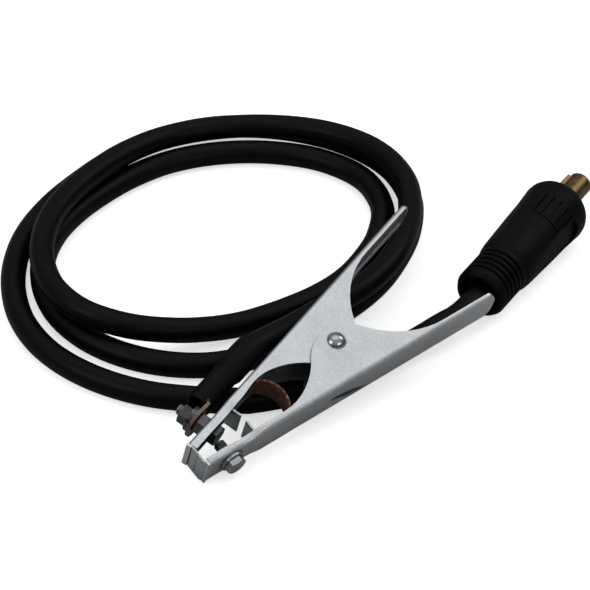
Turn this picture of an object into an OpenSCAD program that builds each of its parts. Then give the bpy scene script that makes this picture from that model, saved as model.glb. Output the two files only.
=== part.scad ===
// Earth clamp lead: a sprung two-arm work clamp, welding cable in loose turns and a bayonet cable plug.
// The clamp is drawn in its own frame and then laid down: the rivet's axis is Z, the handles point to +X
// and the arm that carries the cable is on the +Y side. An arm's own frame has its web's outer face at
// Y = -web_offset, its handle to +X and its jaw to -X. The plug's own frame has its axis along +X, from
// the mouth of the boot to the tip of the contact.

/* [Clamp arms] */
// Distance from the rivet's axis to the outer face of an arm's web
web_offset = 21.4; // [20:0.5:26]
// Width of the free arm over its ears
arm_width = 20; // [18:0.5:24]
// Thickness of the pressed steel
sheet = 1.2; // [0.8:0.1:1.4]
// Outside radius of the bend between web and rim
bend = 2.2; // [1.8:0.1:2.6]
// Height of the rim that runs along an arm, from the web's outer face
rim_height = 2.8; // [2.7:0.1:4]
// Height of the lip that ends a handle, from the web's outer face
lip_height = 4.8; // [3.6:0.1:6]
// Radius of the corners at a handle's end
tip_round = 4.5; // [3:0.5:7]
// Reach of the handles from the rivet's axis
handle_reach = 90.5; // [82:1:115]
// Reach of the jaws from the rivet's axis
jaw_reach = 94; // [91:0.5:98]
// Distance from the closed jaw's end to the clamp's centre line
jaw_depth = 7.4; // [7:0.1:9]
// Radius of the hump that the ears make round the rivet
ear_radius = 20.9; // [19.5:0.5:23]
// Distance from the rivet's axis back to the centre of that hump
ear_drop = 13.5; // [12.5:0.5:15]
// Radius of the sweep from the ears to the handle
handle_fillet = 47; // [38:1:54]
// Radius of the sweep from the ears to the jaw
jaw_fillet = 40.5; // [33:1:46]
// Side play between the nested ears
ear_play = 0.15; // [0.1:0.05:0.3]
// Length of the lens-shaped slot in each web
slot_length = 29.5; // [22:0.5:34]
// Width of that slot at its middle
slot_width = 6.3; // [4:0.1:7]
// Slant of that slot to the arm
slot_slant = 15.5; // [0:0.5:25]
// Distance from the rivet's axis forward to the middle of that slot
slot_reach = 7.6; // [4:0.2:12]
// Distance from the arm's middle down to the middle of that slot
slot_drop = 3.6; // [0:0.2:5]

/* [Jaw tip] */
// Height of the tab that ends each web
tab_height = 14.6; // [12:0.1:15.4]
// Reach of that tab inward, from the web's outer face
tab_reach = 3; // [2.8:0.1:4]
// Gap in the rims beside that tab
tab_relief = 1.2; // [0.6:0.1:2]

/* [Rivet and spring] */
// Diameter of the rivet's shank
rivet_d = 6; // [5:0.5:7]
// Diameter of the rivet's domed heads
rivet_head_d = 9.6; // [9:0.1:12]
// Height of those heads
rivet_head_h = 2.6; // [2:0.1:3.2]
// Diameter of the spring's wire
wire_d = 2.5; // [2:0.1:2.6]
// Mean diameter of the spring's coil
spring_d = 16; // [13:0.5:17]
// Whole turns of the spring
spring_turns = 4; // [3:1:4]
// Reach of the spring's legs along the handles
leg_reach = 42.5; // [40:1:52]

/* [Jaw plates] */
// Thickness of the contact plates
plate_t = 1; // [0.8:0.1:1.4]
// Width of the contact plates
plate_width = 14.6; // [13:0.1:15]
// Distance of the rear teeth from the jaw's end
rear_inset = 30; // [28:0.5:32]
// Length of the cable arm's rear tooth, from the inner face of its web
cable_tooth = 8.2; // [7:0.1:9]
// Length of the free arm's rear tooth, from the inner face of its web
free_tooth = 9.8; // [8:0.1:10.4]
// Distance from each plate's front edge to the centre line, jaws closed
closed_gap = 0.15; // [0.1:0.05:0.5]

/* [Braid] */
// Width of the copper braid
braid_width = 13; // [11:0.5:14]
// Thickness of the braid
braid_t = 1.2; // [1:0.1:1.5]
// Distance from the jaw's end to where the braid leaves an arm
braid_inset = 47; // [44:0.5:50]
// How far the braid bows back toward the rivet from there
braid_bow = 11; // [9:0.5:13]

/* [Screws] */
// Thread diameter of the screws and nuts
thread_d = 6; // [5:0.5:6]
// Width across flats of the bolt heads and nuts
flats = 10; // [9:0.5:11]
// Height of the bolt heads
head_h = 4; // [3:0.5:4.5]
// Height of the nuts
nut_h = 5; // [4:0.5:6]
// Outside diameter of the washers
washer_d = 12.5; // [11:0.5:14]
// Thickness of the washers
washer_t = 1.6; // [1:0.2:2]
// Distance of the terminal bolt from the jaw's end
terminal_inset = 18; // [16.5:0.5:20]
// Distance of the free arm's bolt from the jaw's end
jaw_bolt_inset = 15; // [13.5:0.5:17]
// Length of the cable's bolt under its head
terminal_length = 20; // [19:0.5:22]
// Length of the free jaw's bolt under its head
jaw_bolt_length = 12; // [8:0.5:12]

/* [Lug and sleeve] */
// Width of the lug's palm
palm_width = 17; // [15:0.5:18]
// Thickness of the lug's palm
palm_t = 2.5; // [2:0.1:3]
// Outside diameter of the lug's barrel
barrel_d = 11; // [10.6:0.2:12]
// Bore of the lug's barrel
barrel_bore = 8.4; // [8:0.1:9]
// Length of the lug's barrel
barrel_length = 19; // [16:1:22]
// Length of the flattened neck between palm and barrel
neck_length = 6; // [5:0.5:8]
// Wall of the heat-shrink sleeve
sleeve_wall = 1; // [0.6:0.1:1.4]
// Length of the sleeve past the end of the barrel
sleeve_tail = 16; // [12:1:22]
// Bend of that tail, where the cable hangs down from the barrel
tail_bend = 14; // [6:1:20]

/* [Cable] */
// Outside diameter of the cable
cable_d = 13; // [12:0.5:13]
// Diameter of its bundle of copper strands
strands_d = 8.2; // [7.6:0.1:8.2]

/* [Plug] */
// Length of the plug's rubber body with its boot
plug_length = 91; // [88:0.5:96]
// Diameter of the ribbed boot
boot_d = 28; // [26:0.5:30]
// Length of the ribbed boot
boot_length = 25; // [23:0.5:28]
// Number of ribs on the boot
rib_count = 5; // [3:1:6]
// Diameter of the body where the boot ends
waist_d = 30.8; // [29:0.2:32]
// Largest diameter of the body
body_d = 36; // [34:0.5:38]
// Diameter of the body's nose
nose_d = 22; // [20:0.5:24]
// Depth of the bare panel that is sunk in the body's side
panel_depth = 1; // [0.4:0.1:1.6]
// Diameter of the brass contact's pin
pin_d = 13; // [13:0.5:14]
// Length of the pin past the nose
pin_length = 22; // [20:0.5:25]
// Height of the locking key over the pin
key_h = 1.6; // [1.2:0.1:2]
// Width of the locking key
key_width = 4; // [3:0.5:5]
// Length of the locking key
key_length = 10; // [7:0.5:12]
// Diameter of the contact's shank inside the body
shank_d = 17; // [16:0.5:18]
// Diameter of the grub screw that clamps the strands
grub_d = 8; // [6:0.5:8]

/* [Rest pose] */
// Roll of the clamp about its centre line, as it lies
clamp_roll = 21.8; // [18:0.2:25]
// Rise of the clamp's handles, as it lies
clamp_pitch = 8.4; // [6:0.1:10]
// Turn of the plug to the clamp's centre line, seen from above
plug_turn = 11.3; // [6:0.2:14]
// Rise of the plug's nose, as it lies
plug_rise = 2.8; // [2:0.2:4]

/* [Hidden] */
$fn = 48;
cut = 1;                                  // overshoot of cutting tools
fit_gap = 0.05;                           // clearance round the rivet and beside loose parts
hole_play = 0.4;                          // a clearance hole's diameter over its screw

// Where the clamp and the plug lie
clamp_place = [4.5, 0, 25];             // the rivet's middle
plug_place = [100.5, -12.2, 14.1];           // the middle of the boot's mouth

// The loose turns: the cable's distance from the middle of the turns and its height, every eighth of a turn.
// The last of each only gives the direction in which the turns end.
turns_centre = [36, 113.5];
turns_start = -91.5;
turns_reach = [83, 98, 123, 118, 92, 89, 89, 62,
               57, 77, 112, 105, 90, 89.5, 91, 88,
               77, 94, 131, 132, 107, 104, 112, 116, 118];
turns_height = [21, 20.7, 19.4, 15, 21, 20.2, 20.6, 9.5,
                6.5, 6.5, 6.5, 6.5, 6.5, 6.5, 6.5, 6.5,
                6.5, 6.5, 6.5, 6.5, 6.5, 6.5, 6.5, 6.5, 6.5];
rings_per_step = 3;

// The free stretches of cable, from the sleeve to the turns and from the turns to the boot
clamp_route = [[-12, 28, 27], [1, 29.5, 24]];
plug_route = [[-20.5, 10, 6.5], [-7, 4, 6.5], [9, -0.5, 6.5], [26, -4.5, 6.7], [41, -8, 7.8],
              [55, -10.5, 9.4], [70, -12.7, 11.2]];

// Angle of a closed arm to the centre line
spread = acos(jaw_depth / norm([web_offset, jaw_reach])) - atan2(jaw_reach, web_offset);
terminal_reach = jaw_reach - terminal_inset;
jaw_bolt_reach = jaw_reach - jaw_bolt_inset;
rear_reach = jaw_reach - rear_inset;
braid_turn = jaw_reach - braid_inset;
lip_round = 2;                            // radius of the lip's upper corners
cable_arm_width = arm_width - 2 * (sheet + ear_play);
web_inner = -web_offset + sheet;          // inner face of a web in the arm's own frame
plate_seat = web_inner + braid_t;         // web side of a contact plate
plate_face = plate_seat + plate_t;        // jaw side of a contact plate
rim_line = -web_offset + rim_height;      // top of the rims
hump_rise = web_offset - rim_height - ear_drop;
rim_start = jaw_reach - bend - tab_relief;
plate_front = jaw_reach - sheet - 0.1;    // front face of a contact plate, just inside the tab
nut_seat = -web_offset - nut_h;           // lug side of the inner nut
washer_seat = nut_seat - palm_t;
outer_seat = washer_seat - washer_t;
barrel_axis = nut_seat - barrel_d / 2;    // the barrel lies flush with the palm's inner face
barrel_start = terminal_reach - palm_width / 2 - neck_length;
barrel_end = barrel_start - barrel_length;
tail_r = sleeve_tail / tail_bend * 180 / PI;
tail_steps = 4;
barrel_floor = 2;                         // closed end of the barrel
tail_start = 2 - barrel_end;              // the cable leaves the barrel straight, then bends
inlay = 0.1;                              // how far the neck's ends sit inside the palm and the barrel
key_angle = -55;                          // the key's and the grub screw's side of the plug, from its top
key_inset = 4;                            // from the key to the pin's tip
panel_angle = 97;
panel_width = 13;
panel_seat = body_d / 2 - 1.6;
mouth_d = cable_d + 9;
mouth_depth = 4;
pocket_depth = 2;
panel_start = boot_length + 8;
shoulder = plug_length - 10;              // where the plug's body is widest
panel_end = shoulder - 5;
cavity_start = boot_length + 17;          // the contact's shank sits between these
cavity_end = shoulder - 1;
grub_place = cavity_start + 12;
grip_count = 4;                           // pads that give the hand a grip
grip_pitch = 15;
grip_start = 8;
grip_length = 17;
grip_rear = shoulder - 24;
grip_line = 0.8;
grip_floor = body_d / 2 - 2.2;
pin_chamfer = 1;
pin_shoulder = plug_length + pin_length - pin_chamfer;
ferrule_wall = 0.8;
ferrule_length = 24;
contact_bore = strands_d + 2 * ferrule_wall;

// ---- Points and paths ----

function unit(v) = v / norm(v);
function left_of(v) = [-v[1], v[0]];
function arc(centre, r, from, to, steps) =
    [for (i = [0 : steps]) let (a = from + (to - from) * i / steps) centre + r * [cos(a), sin(a)]];

// A path with its inner corners rounded: each corner becomes a curve that starts r before it
function soften(path, r, steps) = [
    path[0],
    for (i = [1 : len(path) - 2])
        let (a = path[i] + r * unit(path[i - 1] - path[i]), b = path[i] + r * unit(path[i + 1] - path[i]))
        for (k = [0 : steps]) let (s = k / steps)
            (1 - s) * (1 - s) * a + 2 * s * (1 - s) * path[i] + s * s * b,
    path[len(path) - 1]
];

// The outline of a bent strip: a flat path and the same path moved t to its left
function side_normal(path, i) = left_of(unit(path[i + 1] - path[i]));
function moved(path, i, t) =
    i == 0 ? path[0] + t * side_normal(path, 0)
    : i == len(path) - 1 ? path[i] + t * side_normal(path, i - 1)
    : let (a = side_normal(path, i - 1), b = side_normal(path, i)) path[i] + t * (a + b) / (1 + a * b);
function strip(path, t) = concat(path, [for (i = [len(path) - 1 : -1 : 0]) moved(path, i, t)]);

// A smooth curve through a list of values or points, at s steps from its first one
function through(v, s) =
    let (i = min(floor(s), len(v) - 2), f = s - i,
         a = v[max(i - 1, 0)], b = v[i], c = v[i + 1], d = v[min(i + 2, len(v) - 1)])
    b + 0.5 * f * (c - a + f * (2 * a - 5 * b + 4 * c - d + f * (3 * (b - c) + d - a)));

// Where points of an arm, the clamp and the plug come to lie
function turned(p, a) = [p[0] * cos(a) - p[1] * sin(a), p[0] * sin(a) + p[1] * cos(a), p[2]];
function rolled(p, a) = [p[0], p[1] * cos(a) - p[2] * sin(a), p[1] * sin(a) + p[2] * cos(a)];
function raised(p, a) = [p[0] * cos(a) - p[2] * sin(a), p[1], p[0] * sin(a) + p[2] * cos(a)];
function clamp_point(p) = clamp_place + raised(rolled(p, clamp_roll), clamp_pitch);
function cable_arm_point(p) = let (q = turned(p, -spread)) clamp_point([q[0], -q[1], q[2]]);
function tail_point(s) = let (a = tail_bend * s / sleeve_tail)
    cable_arm_point([tail_r * sin(a) + tail_start, barrel_axis, tail_r * (cos(a) - 1)]);
function plug_point(s) = plug_place + turned(raised([s, 0, 0], plug_rise), plug_turn);

// A round bar along a path in space, as rings of flat sides joined by triangles
function path_way(path, i) = unit(path[min(i + 1, len(path) - 1)] - path[max(i - 1, 0)]);
function ring(path, i, r, sides) =
    let (t = path_way(path, i), u = unit(cross([0, 0, 1], t)), v = cross(t, u))
    [for (k = [0 : sides - 1]) let (a = 360 * (k + 0.5) / sides + 90)
        path[i] + r * (cos(a) * u + sin(a) * v)];
module bar(path, d, sides) {
    last = (len(path) - 1) * sides;
    walls = [for (i = [0 : len(path) - 2], k = [0 : sides - 1])
        let (a = i * sides + k, b = i * sides + (k + 1) % sides)
        each [[a, a + sides, b], [b, a + sides, b + sides]]];
    caps = [for (k = [1 : sides - 2]) each [[0, k, k + 1], [last, last + k + 1, last + k]]];
    polyhedron([for (i = [0 : len(path) - 1]) each ring(path, i, d / 2, sides)], concat(walls, caps));
}

// ---- Places ----

module lay_clamp() translate(clamp_place) rotate([clamp_roll, -clamp_pitch, 0]) children();
module on_free_arm() lay_clamp() rotate([0, 0, -spread]) children();
module on_cable_arm() lay_clamp() mirror([0, 1, 0]) rotate([0, 0, -spread]) children();
module lay_plug() translate(plug_place) rotate([0, -plug_rise, plug_turn]) children();

// Along a bolt's axis: Z points out through the web, from the given height in the arm's own frame
module at_bolt(reach, y) translate([-reach, y, 0]) rotate([90, 0, 0]) children();

// ---- Pressed arms ----

// Side view of an arm: rims, the hump of the ears and the sweeps between them
function sweep_x(r) = sqrt(pow(ear_radius + r, 2) - pow(r - hump_rise, 2));
function sweep_angle(r) = atan2(r - hump_rise, sweep_x(r));
function arm_outline(front, back) = concat(
    [[back, -web_offset - cut], [back, rim_line]],
    arc([sweep_x(handle_fillet), rim_line + handle_fillet], handle_fillet,
        270, 180 + sweep_angle(handle_fillet), 9),
    arc([0, -ear_drop], ear_radius, sweep_angle(handle_fillet), 180 - sweep_angle(jaw_fillet), 24),
    arc([-sweep_x(jaw_fillet), rim_line + jaw_fillet], jaw_fillet, -sweep_angle(jaw_fillet), -90, 9),
    [[-front, rim_line], [-front, -web_offset - cut]]
);

// Section of a rim: its outer face on the Y axis, a bend at its foot
module rim_section(height) {
    difference() {
        union() {
            intersection() {
                translate([-bend, bend]) circle(bend);
                translate([-bend, 0]) square(bend);
            }
            translate([-sheet, bend]) square([sheet, height - bend]);
        }
        translate([-bend, bend]) circle(bend - sheet);
    }
}

module channel_section(width, height) {
    for (side = [0, 1]) mirror([side, 0]) translate([width / 2, 0]) rim_section(height);
    translate([bend - width / 2, 0]) square([width - 2 * bend, sheet]);
}

// The end of a handle: the rim carries on round its corners, as on a drawn tray, and rises to a lip
module handle_tip(width) {
    straight = width - 2 * tip_round;
    translate([handle_reach - tip_round, -web_offset, 0]) rotate([-90, 0, 0]) {
        for (side = [0, 1]) mirror([0, side, 0]) translate([0, straight / 2, 0])
            rotate_extrude(angle = 90) translate([tip_round, 0]) rim_section(rim_height);
        intersection() {
            translate([tip_round, 0, 0]) rotate([90, 0, 0])
                linear_extrude(straight, center = true) rim_section(lip_height);
            translate([0, 0, lip_height - lip_round]) rotate([0, 90, 0])
                linear_extrude(tip_round + cut) lip_outline(straight);
        }
        for (side = [-1, 1]) translate([0, side * straight / 2, 0]) cylinder(h = sheet, r = tip_round - bend);
        translate([0, -straight / 2, 0]) cube([tip_round - bend, straight, sheet]);
        translate([-cut, bend - width / 2, 0]) cube([cut, width - 2 * bend, sheet]);
    }
}
module lip_outline(straight) {
    for (side = [-1, 1]) translate([0, side * (straight / 2 - lip_round)]) circle(lip_round);
    translate([-lip_round, lip_round - straight / 2]) square([2 * lip_round, straight - 2 * lip_round]);
    translate([0, -straight / 2]) square([lip_height, straight]);
}

// The web runs on past the rims and turns in
module jaw_tab() {
    translate([-jaw_reach, -web_offset, 0]) {
        mirror([1, 0, 0]) linear_extrude(tab_height, center = true) rim_section(tab_reach);
        translate([bend, 0, -tab_height / 2]) cube([tab_relief, sheet, tab_height]);
    }
}

module spring_slot() {
    r = (pow(slot_length / 2, 2) + pow(slot_width / 2, 2)) / slot_width;
    translate([-slot_reach, -web_offset - cut, -slot_drop]) rotate([-90, 0, 0]) rotate([0, 0, slot_slant])
        intersection_for(side = [-1, 1])
            translate([0, side * (r - slot_width / 2), 0]) cylinder(h = sheet + 2 * cut, r = r, $fn = 96);
}

module pressed_arm(width, bolt_reach, ear_hole_d) {
    tip = handle_reach - tip_round;
    ear_top = web_offset - ear_drop + ear_radius;
    difference() {
        union() {
            intersection() {
                translate([tip, -web_offset, 0]) rotate([0, -90, 0])
                    linear_extrude(tip + rim_start) channel_section(width, ear_top + cut);
                linear_extrude(width + 2 * cut, center = true) polygon(arm_outline(rim_start, tip));
            }
            handle_tip(width);
            jaw_tab();
        }
        cylinder(h = width + 2 * cut, d = ear_hole_d, center = true);
        at_bolt(bolt_reach, web_inner + cut) cylinder(h = sheet + 2 * cut, d = thread_d + hole_play);
        spring_slot();
    }
}

module cable_arm() color([0.78, 0.79, 0.81]) on_cable_arm()
    pressed_arm(cable_arm_width, terminal_reach, rivet_d);

module free_arm() color([0.78, 0.79, 0.81]) on_free_arm()
    pressed_arm(arm_width, jaw_bolt_reach, rivet_d + 2 * fit_gap);

// ---- Rivet and spring ----

module rivet_head() {
    dome_r = (pow(rivet_head_d / 2, 2) + pow(rivet_head_h, 2)) / (2 * rivet_head_h);
    intersection() {
        translate([0, 0, rivet_head_h - dome_r]) sphere(dome_r);
        cylinder(h = rivet_head_h + cut, d = rivet_head_d);
    }
}

module pivot_rivet() color([0.86, 0.86, 0.87]) lay_clamp() {
    seat = arm_width / 2 + fit_gap;
    cylinder(h = 2 * seat, d = rivet_d, center = true);
    for (side = [0, 1]) mirror([0, 0, side]) translate([0, 0, seat]) rivet_head();
}

// The legs leave the coil on a tangent, lean out to the webs and lie along them
leg_gap = 0.3;
leg_line = web_inner + wire_d / 2 + leg_gap;
leg_lean = 17;
coil_gap = 0.35;                          // between the spring's turns
function leg_turn() = let (a = -90 - leg_lean, s = (spring_d / 2 * sin(a) - leg_line) / sin(leg_lean))
    [spring_d / 2 * cos(a) + s * cos(leg_lean), leg_line, 0];
function spring_path() =
    let (sweep = 360 * spring_turns + 360 - 2 * (90 + leg_lean + spread),
         from = 90 + leg_lean + spread,
         rise = sweep / 360 * (wire_d + coil_gap),
         steps = ceil(sweep / 45),
         low = [0, 0, -rise / 2],
         ends = [[leg_reach, leg_line, 0], leg_turn()],
         out = [for (p = soften([ends[0], ends[1], [0, spring_d / -2, 0]], 3, 2)) p])
    concat(
        [for (i = [0 : len(out) - 2]) let (q = turned(out[i], -spread)) [q[0], -q[1], 0] + low],
        [for (i = [0 : steps]) let (a = from + sweep * i / steps)
            [spring_d / 2 * cos(a), spring_d / 2 * sin(a), rise * (i / steps - 0.5)]],
        [for (i = [len(out) - 2 : -1 : 0]) turned(out[i], -spread) - low]);

module torsion_spring() color([0.62, 0.63, 0.65]) lay_clamp() bar(spring_path(), wire_d, 6);

// ---- Contact plates and braid ----

// Height of the centre line over the arm's own frame, at a distance x along the arm
function centre_line(x) = x * tan(spread);

plate_bend = 2.4;                         // how far the bends round a plate's corners
upper_trim = 3.4;                         // what the rear teeth lose at each corner, and up to where
lower_trim = 1;
trim_height = 7;

// The front of the cable arm's plate leans, so that both fronts lie in one plane when the jaws are closed
module jaw_plate(lean, tooth, bolt_reach, hole_d) {
    top = centre_line(-plate_front) - closed_gap;
    foot = [-plate_front + (top - plate_seat) * tan(lean), plate_seat];
    path = soften([[-plate_front, top], foot, [-rear_reach, plate_seat], [-rear_reach, web_inner + tooth]],
                  plate_bend, 4);
    difference() {
        linear_extrude(plate_width, center = true) polygon(strip(path, plate_t));
        at_bolt(bolt_reach, plate_face + cut) cylinder(h = plate_t + 2 * cut, d = hole_d);
        // The rear tooth narrows toward its tip, more on its lower side
        translate([-rear_reach - plate_t - cut, plate_face + 1, 0]) rotate([0, 90, 0])
            linear_extrude(plate_t + 2 * cut) tooth_trim();
    }
}
module tooth_trim() {
    half = plate_width / 2;
    for (side = [[1, upper_trim], [-1, lower_trim]])
        polygon([[side[0] * half, 0], [side[0] * (half + cut), 0],
                 [side[0] * (half + cut), cable_tooth + cut],
                 [side[0] * (half - side[1]), cable_tooth + cut],
                 [side[0] * (half - side[1]), trim_height]]);
}

module cable_jaw_plate() color([0.5, 0.53, 0.57]) on_cable_arm()
    jaw_plate(2 * spread, cable_tooth, terminal_reach, thread_d + hole_play);

module free_jaw_plate() color([0.5, 0.53, 0.57]) on_free_arm()
    jaw_plate(0, free_tooth, jaw_bolt_reach, thread_d);

// The braid: two feet between web and plate, and a bow between the arms. Beside the free arm it has fit_gap.
terminal_foot = 7;                        // how far a foot runs past its bolt
jaw_foot = 5;
function braid_foot(side, reach, lift) =
    let (q = turned([-reach, side * (web_inner + lift), 0], -side * spread)) [q[0], q[1]];
function braid_path() = let (
    near = braid_foot(-1, braid_turn, 0),
    far = braid_foot(1, braid_turn, fit_gap),
    half = (near[1] - far[1]) / 2,
    mid = (near + far) / 2)
    concat([braid_foot(-1, terminal_reach + terminal_foot, 0), near],
           [for (a = [75 : -15 : -75]) [mid[0] + braid_bow * cos(a), mid[1] + half * sin(a)]],
           [far, braid_foot(1, jaw_bolt_reach + jaw_foot, fit_gap)]);

module copper_braid() color([0.45, 0.25, 0.16]) lay_clamp() difference() {
    linear_extrude(braid_width, center = true) polygon(strip(braid_path(), -braid_t + fit_gap));
    mirror([0, 1, 0]) rotate([0, 0, -spread]) at_bolt(terminal_reach, plate_seat + cut)
        cylinder(h = braid_t + 2 * cut, d = thread_d + hole_play);
    rotate([0, 0, -spread]) at_bolt(jaw_bolt_reach, plate_seat + cut)
        cylinder(h = braid_t + 2 * cut, d = thread_d + hole_play);
}
// ---- Screws, nuts and washers ----

corner_cut = 0.8;                         // height of the cone that rounds a hexagon's corners
foot_cut = 0.1;
face_inset = 0.2;                         // how far that cone cuts into the hexagon's face
point = 0.8;                              // height of the cone on a screw's end
point_depth = 0.7;

// A hexagon whose corners are rounded off by a cone at its top and at its foot
module hexagon(h, foot) {
    corner = flats / cos(30);
    rim = flats / 2 - face_inset;
    intersection() {
        cylinder(h = h, d = corner, $fn = 6);
        rotate_extrude() polygon([[0, 0], [foot == foot_cut ? corner / 2 + cut : rim, 0],
                                  [corner / 2 + cut, foot], [corner / 2 + cut, h - corner_cut],
                                  [rim, h], [0, h]]);
    }
}

module bolt(length) {
    hexagon(head_h, foot_cut);
    translate([0, 0, point - length]) cylinder(h = length - point + 0.01, d = thread_d);
    translate([0, 0, -length]) cylinder(h = point, d1 = thread_d - 2 * point_depth, d2 = thread_d);
}

module nut() difference() {
    hexagon(nut_h, corner_cut);
    translate([0, 0, -cut]) cylinder(h = nut_h + 2 * cut, d = thread_d);
}

module washer(hole_d) difference() {
    cylinder(h = washer_t, d = washer_d);
    translate([0, 0, -cut]) cylinder(h = washer_t + 2 * cut, d = hole_d);
}

module terminal_bolt() color([0.42, 0.44, 0.47]) on_cable_arm()
    at_bolt(terminal_reach, plate_face) mirror([0, 0, 1]) bolt(terminal_length);

module terminal_nut_inner() color([0.7, 0.68, 0.6]) on_cable_arm()
    at_bolt(terminal_reach, -web_offset) nut();

module terminal_washer() color([0.72, 0.72, 0.72]) on_cable_arm()
    at_bolt(terminal_reach, washer_seat) washer(thread_d + hole_play);

module terminal_nut_outer() color([0.7, 0.68, 0.6]) on_cable_arm()
    at_bolt(terminal_reach, outer_seat) rotate([0, 0, 20]) nut();

module jaw_bolt() color([0.72, 0.72, 0.72]) on_free_arm()
    at_bolt(jaw_bolt_reach, -web_offset - washer_t) rotate([0, 0, 8]) bolt(jaw_bolt_length);

module jaw_washer() color([0.72, 0.72, 0.72]) on_free_arm()
    at_bolt(jaw_bolt_reach, -web_offset) washer(thread_d + hole_play);

// ---- Lug, strands and sleeve ----

// Z along the barrel, toward the handle
module along_barrel(x) translate([x, barrel_axis, 0]) rotate([0, 90, 0]) children();

module cable_lug() color([0.72, 0.45, 0.3]) on_cable_arm() {
    difference() {
        at_bolt(terminal_reach, nut_seat) {
            cylinder(h = palm_t, d = palm_width);
            translate([0, -palm_width / 2, 0]) cube([palm_width / 2, palm_width, palm_t]);
        }
        at_bolt(terminal_reach, nut_seat + cut) cylinder(h = palm_t + 2 * cut, d = thread_d + hole_play);
    }
    hull() {
        translate([-barrel_start - neck_length - 1, nut_seat - palm_t + inlay, inlay - palm_width / 2])
            cube([1, palm_t - 2 * inlay, palm_width - 2 * inlay]);
        along_barrel(-barrel_start) cylinder(h = 1, d = barrel_d - 2 * inlay, $fn = 32);
    }
    difference() {
        along_barrel(-barrel_start) cylinder(h = barrel_length, d = barrel_d);
        along_barrel(barrel_floor - barrel_start) cylinder(h = barrel_length, d = barrel_bore);
    }
}

module lug_strands() color([0.75, 0.42, 0.26]) on_cable_arm()
    along_barrel(barrel_floor - barrel_start) cylinder(h = barrel_length - barrel_floor, d = strands_d);

bare_barrel = 1;                          // the barrel's end that the sleeve leaves bare
sleeve_flare = 4;                         // length over which the sleeve widens to the cable

// The sleeve: straight on the barrel, then bent down with the cable
module heat_shrink_sleeve() color([0.05, 0.05, 0.05]) on_cable_arm() {
    on_barrel = barrel_d / 2 + fit_gap;
    on_cable = cable_d / 2 + fit_gap;
    step = barrel_length - bare_barrel;
    straight = tail_start + barrel_start - bare_barrel;
    along_barrel(bare_barrel - barrel_start) rotate_extrude()
        polygon([[on_barrel, 0], [on_barrel + sleeve_wall, 0], [on_barrel + sleeve_wall, step - sleeve_flare],
                 [on_cable + sleeve_wall, step - sleeve_wall], [on_cable + sleeve_wall, straight],
                 [on_cable, straight], [on_cable, step], [on_barrel, step - sleeve_wall]]);
    translate([tail_start, barrel_axis, -tail_r]) rotate([0, 0, -90]) rotate([0, -90, 0])
        rotate_extrude(angle = tail_bend, $fn = 180) translate([tail_r, 0]) difference() {
            circle(on_cable + sleeve_wall, $fn = 48);
            circle(on_cable, $fn = 48);
        }
}

// ---- Cable ----

function turns_point(k) = let (s = k / rings_per_step, a = turns_start + 45 * s, r = through(turns_reach, s))
    [turns_centre[0] + r * cos(a), turns_centre[1] + r * sin(a), through(turns_height, s)];
turns_rings = (len(turns_reach) - 2) * rings_per_step;
turns_points = [for (k = [0 : turns_rings]) turns_point(k)];
way_in = unit(turns_points[1] - turns_points[0]);
way_out = unit(turns_point(turns_rings + 1) - turns_point(turns_rings - 1));
turns_in = turns_points[0] - cable_d * way_in;
turns_out = turns_points[turns_rings] + cable_d * way_out;
turns_path = concat([turns_in], turns_points, [turns_out]);

// The least distance between two passes of the turns, less the cable's own diameter
turns_gap = min([for (i = [0 : turns_rings - 12], j = [i + 12 : turns_rings])
    norm(turns_points[i] - turns_points[j])]) - cable_d;
echo(str("least gap between the cable's turns: ", turns_gap, " mm"));

clamp_path = concat(
    [cable_arm_point([-barrel_end, barrel_axis, 0])],
    [for (k = [0 : tail_steps]) tail_point(sleeve_tail * k / tail_steps)],
    clamp_route,
    [turns_in - cable_d / 2 * way_in, turns_in]);
plug_path = concat(
    [turns_out, turns_out + cable_d / 2 * way_out],
    plug_route,
    [plug_point(-cable_d), plug_point(cavity_start)]);

module cable_clamp_end() color([0.05, 0.05, 0.05]) bar(clamp_path, cable_d, 10);
module cable_coil() color([0.05, 0.05, 0.05]) bar(turns_path, cable_d, 6);
module cable_plug_end() color([0.05, 0.05, 0.05]) bar(plug_path, cable_d, 10);

// ---- Plug ----

// Z along the plug's axis
module along_plug(s) translate([s, 0, 0]) rotate([0, 90, 0]) children();

lip_step = 1;                             // the boot's rounded mouth edge
smooth_mouth = 5;                         // the boot before its first groove
rib_pitch = (boot_length - smooth_mouth - 1) / rib_count;
rib_groove = 2.2;                         // width of a groove between ribs
rib_slope = 0.6;
rib_depth = 1.3;
nose_round = 9;
nose_edge = 0.5;
waist_step = 2;                           // the fold between boot and body
waist_rise = 6;
swell_start = 25;                         // where the body starts to widen, from its shoulder
swell = 1.4;

// Half outline of the body: the boot's ribs, the swelling body and its rounded nose
function boot_grooves() = let (r = boot_d / 2, floor_r = r - rib_depth)
    [for (i = [0 : rib_count - 1]) let (s = smooth_mouth + rib_pitch * i)
        each [[s, r], [s + rib_slope, floor_r], [s + rib_groove - rib_slope, floor_r], [s + rib_groove, r]]];
function plug_outline() = concat(
    [[0, boot_d / 2 - 2.2 * lip_step], [lip_step, boot_d / 2 - lip_step], [3 * lip_step, boot_d / 2]],
    boot_grooves(),
    [[boot_length, boot_d / 2], [boot_length + waist_step, waist_d / 2 - nose_edge],
     [boot_length + waist_rise, waist_d / 2], [shoulder - swell_start, body_d / 2 - swell],
     [shoulder - swell_start / 2, body_d / 2 - 0.7 * swell], [shoulder, body_d / 2]],
    arc([plug_length - nose_round, body_d / 2 - nose_round], nose_round, 90,
        asin((nose_d / 2 - body_d / 2 + nose_round) / nose_round), 5),
    [[plug_length, nose_d / 2 - nose_edge]]
);

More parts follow.
